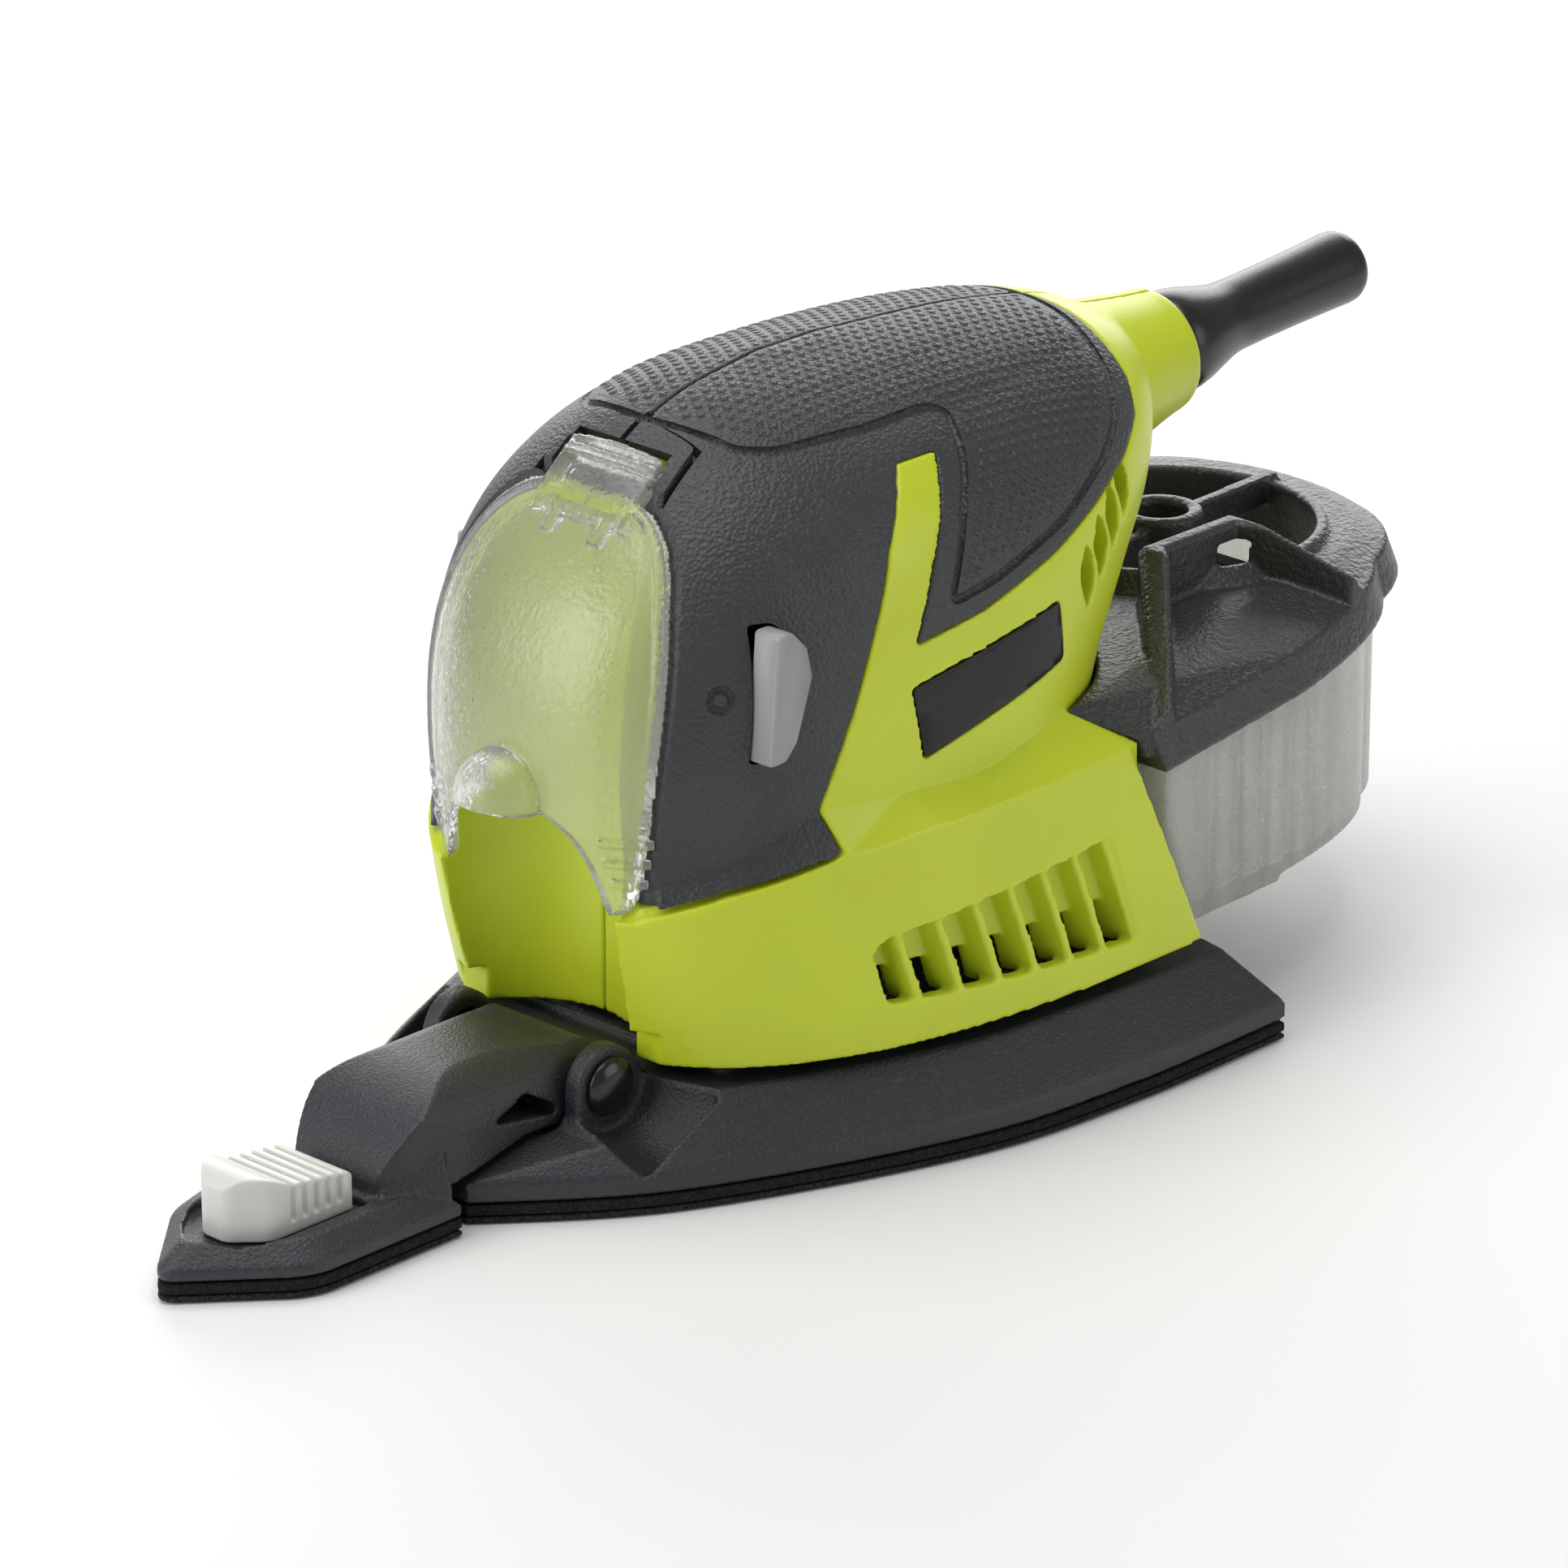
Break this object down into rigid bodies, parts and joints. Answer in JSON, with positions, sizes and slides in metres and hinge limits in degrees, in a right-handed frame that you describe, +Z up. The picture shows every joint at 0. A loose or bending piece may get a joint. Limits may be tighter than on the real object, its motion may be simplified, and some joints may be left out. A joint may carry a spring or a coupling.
{
  "type": "orbital sander",
  "caption": "Palm-grip orbital detail sander with a boat-shaped sole, fold-up sanding finger, clear hinged visor, soft grip, push-through switch and pull-off dust box.",
  "frame": {"origin": "on the motor axis, in the plane of the sanding face", "axes": "+Z up, -X towards the finger tip, +X towards the cord guard, +Y the side where the screws go in"},
  "size_m": [0.2457, 0.1032, 0.1072],
  "materials": {
    "lime_shell": "satin moulded plastic",
    "soft_grip": "fine leather grain",
    "badge": "smooth plate",
    "clear_plastic": "clear with a frosted inside",
    "switch_grey": "satin moulded plastic",
    "black_rubber": "smooth rubber",
    "black_plastic": "moulded plastic",
    "steel": "turned or pressed steel",
    "copper": "enamelled winding or pressed brass",
    "carbon": "pressed carbon",
    "sole_plastic": "sparkling fine grain",
    "foam": "cut foam",
    "hook_facing": "hook facing",
    "latch_white": "satin moulded plastic",
    "bin_frosted": "cloudy translucent plastic",
    "lid_plastic": "satin grain",
    "filter_paper": "pleated paper"
  },
  "bodies": {
    "housing": {"housing_left": "lime_shell", "housing_right": "lime_shell", "overmould_left": "soft_grip", "overmould_right": "soft_grip", "badge_left": "badge", "badge_right": "badge", "visor_pin": "steel", "housing_screw_1": "steel", "housing_screw_2": "steel", "housing_screw_3": "steel", "housing_screw_4": "steel", "switch_module": "black_plastic", "cord_guard": "black_rubber", "cord_clamp": "black_plastic", "field_core": "steel", "field_coil_left": "copper", "field_coil_right": "copper", "brush_holder_front": "copper", "brush_holder_rear": "copper", "carbon_brush_front": "carbon", "carbon_brush_rear": "carbon", "lower_bearing": "steel", "upper_bearing": "steel", "upper_bearing_sleeve": "black_rubber", "motor_bracket": "black_plastic", "rubber_post_1": "black_rubber", "rubber_post_2": "black_rubber", "rubber_post_3": "black_rubber", "rubber_post_4": "black_rubber", "duct_seal": "black_rubber"},
    "rotor": {"motor_shaft": "steel", "armature_core": "steel", "armature_winding_lower": "copper", "armature_winding_upper": "copper", "commutator": "copper", "fan": "black_plastic", "eccentric": "steel", "retaining_washer": "steel", "retaining_screw": "steel"},
    "platen": {"platen": "sole_plastic", "platen_foam": "foam", "platen_facing": "hook_facing", "platen_bearing": "steel", "finger_pin": "black_rubber"},
    "finger": {"finger": "sole_plastic", "finger_foam": "foam", "finger_facing": "hook_facing"},
    "finger_latch": {"finger_latch": "latch_white"},
    "visor": {"visor": "clear_plastic"},
    "switch": {"switch_slider": "switch_grey"},
    "dust_box": {"dust_bin": "bin_frosted", "dust_lid": "lid_plastic", "filter_frame": "black_plastic", "filter_pleats": "filter_paper"}
  },
  "joints": [
    {"name": "motor_spin", "type": "hinge", "parent": "housing", "child": "rotor", "pos_m": [0, 0, 0.06], "axis": [0, 0, 1], "continuous": true},
    {"name": "platen_orbit", "type": "hinge", "parent": "rotor", "child": "platen", "pos_m": [0.001, 0, 0.0107], "axis": [0, 0, 1], "continuous": true},
    {"name": "finger_fold", "type": "hinge", "parent": "platen", "child": "finger", "pos_m": [-0.064, 0, 0.0144], "axis": [0, 1, 0], "range_deg": [0, 53]},
    {"name": "latch_slide", "type": "slide", "parent": "finger", "child": "finger_latch", "axis": [-1, 0, 0], "range_m": [0, 0.0016]},
    {"name": "visor_open", "type": "hinge", "parent": "housing", "child": "visor", "pos_m": [-0.0458, 0, 0.0974], "axis": [0, 1, 0], "range_deg": [0, 75]},
    {"name": "switch_slide", "type": "slide", "parent": "housing", "child": "switch", "axis": [0, 1, 0], "range_m": [0, 0.004]},
    {"name": "dust_box_pull", "type": "slide", "parent": "housing", "child": "dust_box", "axis": [1, 0, 0], "range_m": [0, 0.1]}
  ],
  "couplings": [
    {"joint": "platen_orbit", "follows": "motor_spin", "ratio": -1}
  ]
}
